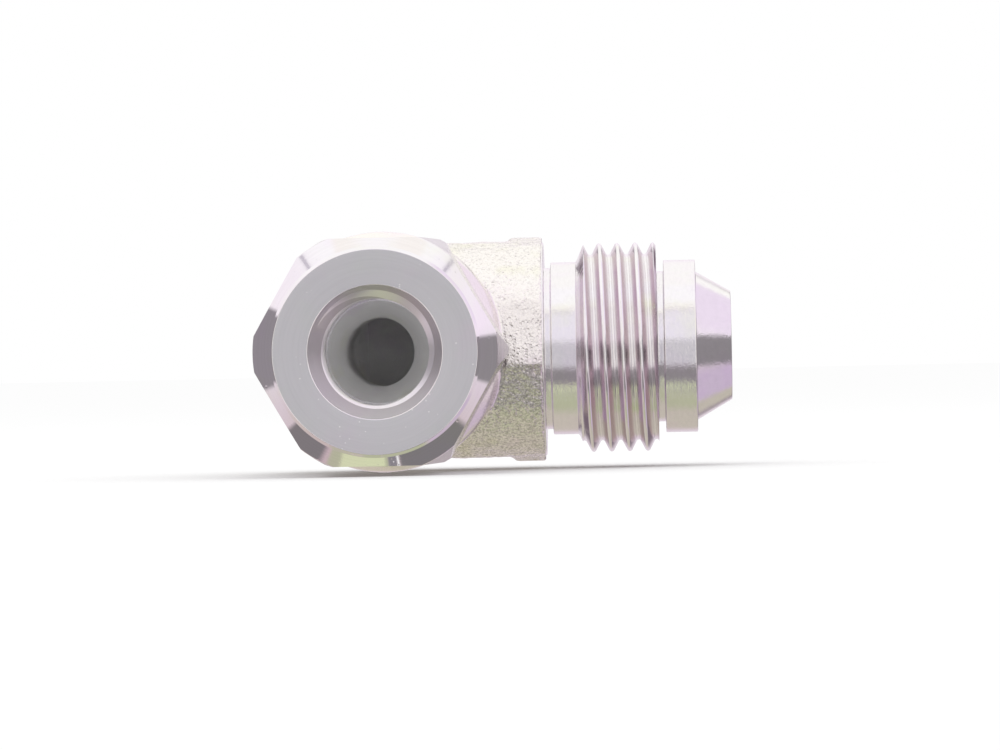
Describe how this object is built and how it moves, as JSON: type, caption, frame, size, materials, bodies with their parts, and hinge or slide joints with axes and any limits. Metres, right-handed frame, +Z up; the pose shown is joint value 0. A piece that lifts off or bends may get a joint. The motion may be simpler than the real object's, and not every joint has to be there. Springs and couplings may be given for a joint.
{
  "type": "hydraulic elbow fitting",
  "caption": "Ninety degree steel adapter elbow: free-turning hexagonal swivel nut with internal thread on one leg, male parallel thread with outside cone on the other.",
  "frame": {"origin": "centre of the swivel nut's mouth face", "axes": "-Y out of the swivel nut's mouth along its axis, +X along the male end away from the body, +Z up as it lies on its side"},
  "size_m": [0.0471, 0.0454, 0.024],
  "materials": {
    "forged_steel": "zinc plated, rough forged skin, bright turned ends",
    "turned_steel": "zinc plated, finely turned",
    "spring_wire": "drawn spring wire"
  },
  "bodies": {
    "elbow": {"elbow_body": "forged_steel"},
    "nut": {"swivel_nut": "turned_steel", "retaining_wire": "spring_wire"}
  },
  "joints": [
    {"name": "nut_spin", "type": "hinge", "parent": "elbow", "child": "nut", "pos_m": [0, 0.01, 0], "axis": [0, 1, 0], "continuous": true}
  ]
}
